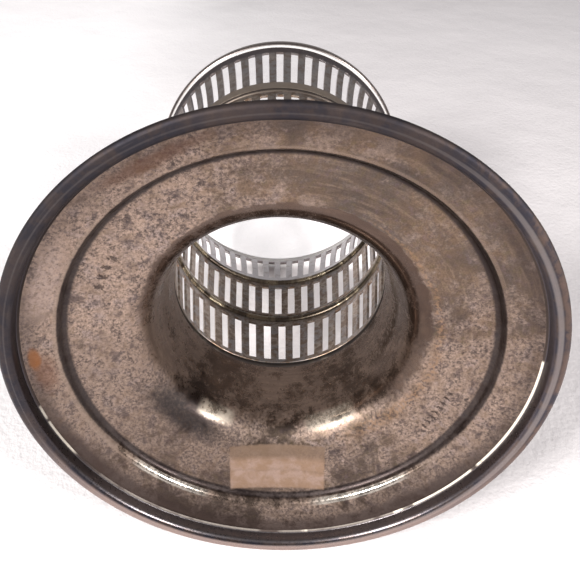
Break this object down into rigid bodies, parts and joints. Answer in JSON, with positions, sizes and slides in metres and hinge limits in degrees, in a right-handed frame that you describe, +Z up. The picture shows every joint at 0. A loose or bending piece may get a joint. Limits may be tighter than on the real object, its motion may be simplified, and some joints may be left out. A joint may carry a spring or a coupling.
{
  "type": "pierced silver stand",
  "caption": "Round pierced metal stand for a loose liner: dished foot with an applied rim, drawn-in neck and a flaring basket of slotted bands joined by wires.",
  "frame": {"origin": "centre of the crest ring that the foot stands on, on the resting plane", "axes": "+Z up along the stand's axis, from the foot to the top rim"},
  "size_m": [0.104, 0.104, 0.1061],
  "materials": {
    "foot_silver": "spun silver with worn brown tarnish",
    "rim_silver": "blue-grey tarnished silver",
    "band_silver": "tarnished pierced silver sheet",
    "wire_silver": "half-polished silver wire with yellow tarnish"
  },
  "bodies": {
    "root": {"foot_rim": "rim_silver", "foot": "foot_silver", "collar_ring": "wire_silver", "lower_wire": "wire_silver", "upper_wire": "wire_silver", "top_rim": "wire_silver", "lower_band": "band_silver", "middle_band": "band_silver", "upper_band": "band_silver"}
  },
  "joints": []
}
